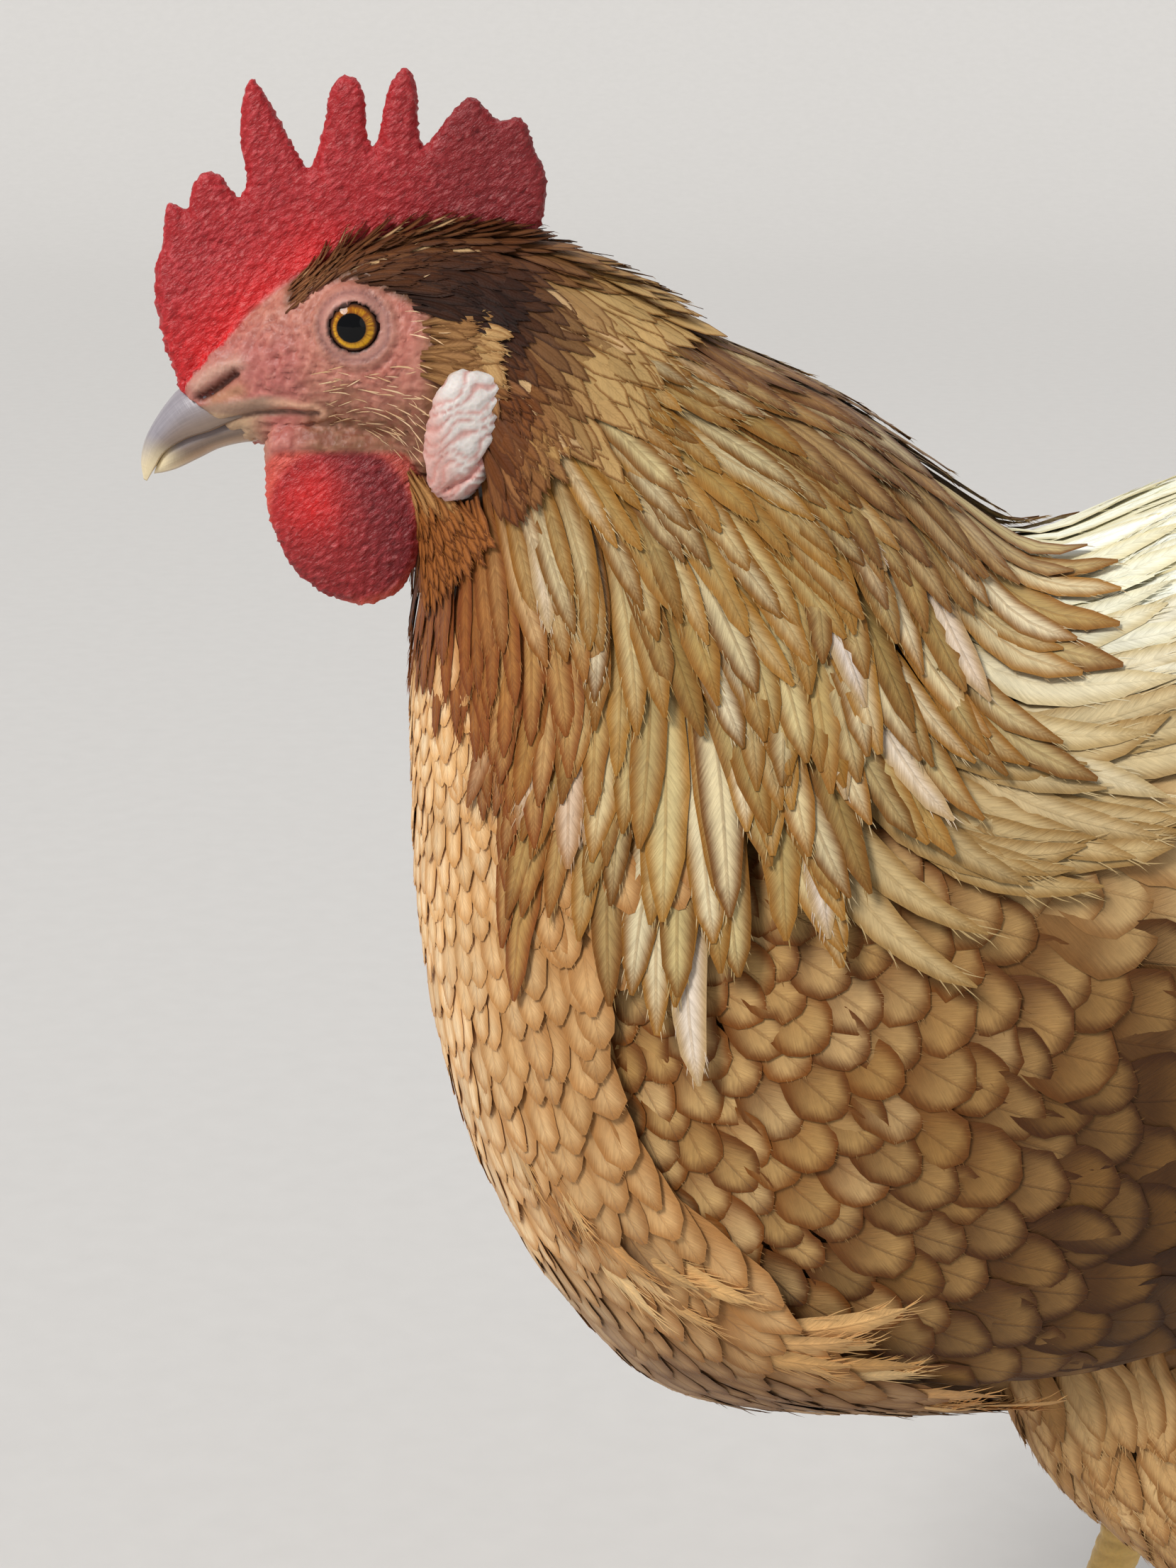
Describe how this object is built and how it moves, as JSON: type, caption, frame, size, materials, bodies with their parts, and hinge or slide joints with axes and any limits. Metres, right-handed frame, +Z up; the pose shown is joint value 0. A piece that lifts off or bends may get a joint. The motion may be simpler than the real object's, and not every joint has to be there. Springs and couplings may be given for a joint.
{
  "type": "standing hen model",
  "caption": "Life-size model of a standing ginger-buff laying hen with an upright red single comb, white ear lobes, laced breast feathers and yellow legs.",
  "frame": {"origin": "on the floor under the middle of the hen's overall box", "axes": "+Z up; the hen faces -X, its left side is towards -Y"},
  "size_m": [0.4098, 0.1618, 0.4066],
  "materials": {
    "face_skin": "soft wrinkled skin",
    "red_skin": "grained red skin",
    "pale_lobe": "folded pale skin",
    "horn": "polished horn",
    "eye": "wet glossy eye",
    "hackle": "pointed feathers",
    "buff": "rounded feathers",
    "cream": "long feathers",
    "leg_scale": "scaled skin"
  },
  "bodies": {
    "root": {"bill_lower": "horn", "bill_upper": "horn", "claw_hind_left": "horn", "claw_hind_right": "horn", "claw_inner_left": "horn", "claw_inner_right": "horn", "claw_middle_left": "horn", "claw_middle_right": "horn", "claw_outer_left": "horn", "claw_outer_right": "horn", "comb": "red_skin", "ear_lobe_left": "pale_lobe", "ear_lobe_right": "pale_lobe", "eye_left": "eye", "eye_right": "eye", "head": "face_skin", "neck": "hackle", "shank_left": "leg_scale", "shank_right": "leg_scale", "tail": "cream", "thigh_left": "buff", "thigh_right": "buff", "toe_hind_left": "leg_scale", "toe_hind_right": "leg_scale", "toe_inner_left": "leg_scale", "toe_inner_right": "leg_scale", "toe_middle_left": "leg_scale", "toe_middle_right": "leg_scale", "toe_outer_left": "leg_scale", "toe_outer_right": "leg_scale", "trunk": "buff", "wattle_left": "red_skin", "wattle_right": "red_skin", "wing_left": "buff", "wing_right": "buff"}
  },
  "joints": []
}
